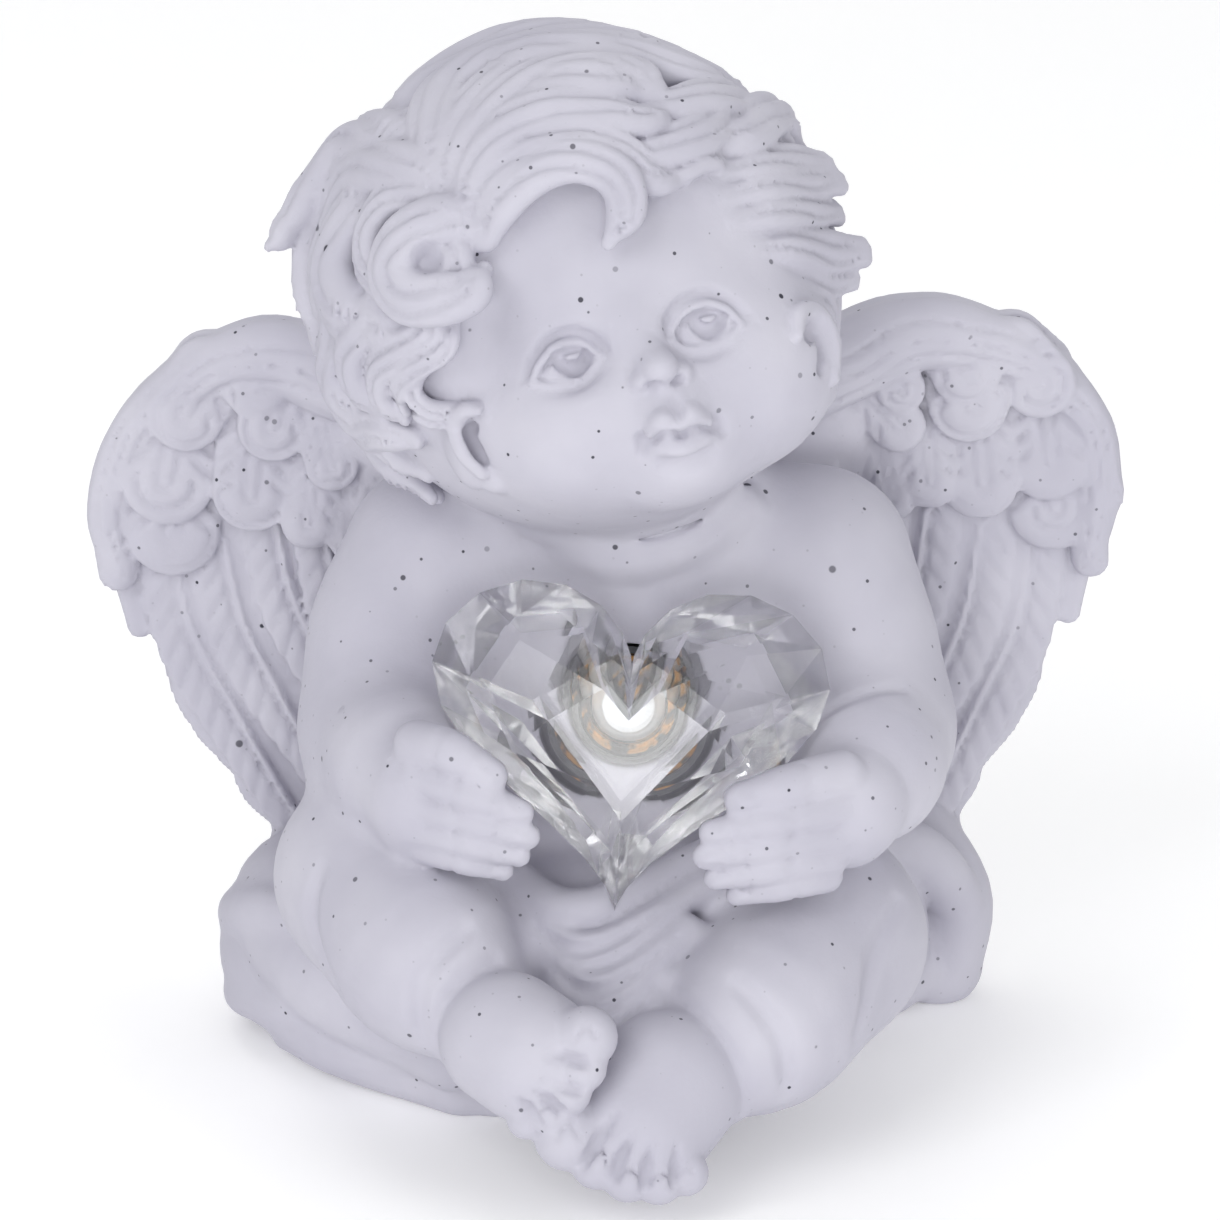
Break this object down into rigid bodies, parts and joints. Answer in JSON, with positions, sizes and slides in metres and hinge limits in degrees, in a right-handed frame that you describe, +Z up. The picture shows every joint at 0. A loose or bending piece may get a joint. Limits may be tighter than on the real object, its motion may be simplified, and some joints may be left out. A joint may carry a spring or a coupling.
{
  "type": "memorial angel figurine",
  "caption": "Seated cast cherub with folded wings that holds a facet-cut clear heart before a small round lamp.",
  "frame": {"origin": "on the flat underside, below the middle of the cherub's body", "axes": "+Z up, -Y the way the cherub faces, +X to the cherub's left"},
  "size_m": [0.1223, 0.0976, 0.1256],
  "materials": {
    "cast_resin": "matt stone-filled cast resin, pale cool grey-white with fine dark specks",
    "crystal": "clear polished facets",
    "dark_plastic": "dark grey moulded plastic",
    "amber_plastic": "glossy amber",
    "frosted_plastic": "frosted white lens"
  },
  "bodies": {
    "root": {"figure": "cast_resin", "heart_crystal": "crystal", "lamp_cup": "dark_plastic", "lamp_ring": "amber_plastic", "lamp_lens": "frosted_plastic"}
  },
  "joints": []
}
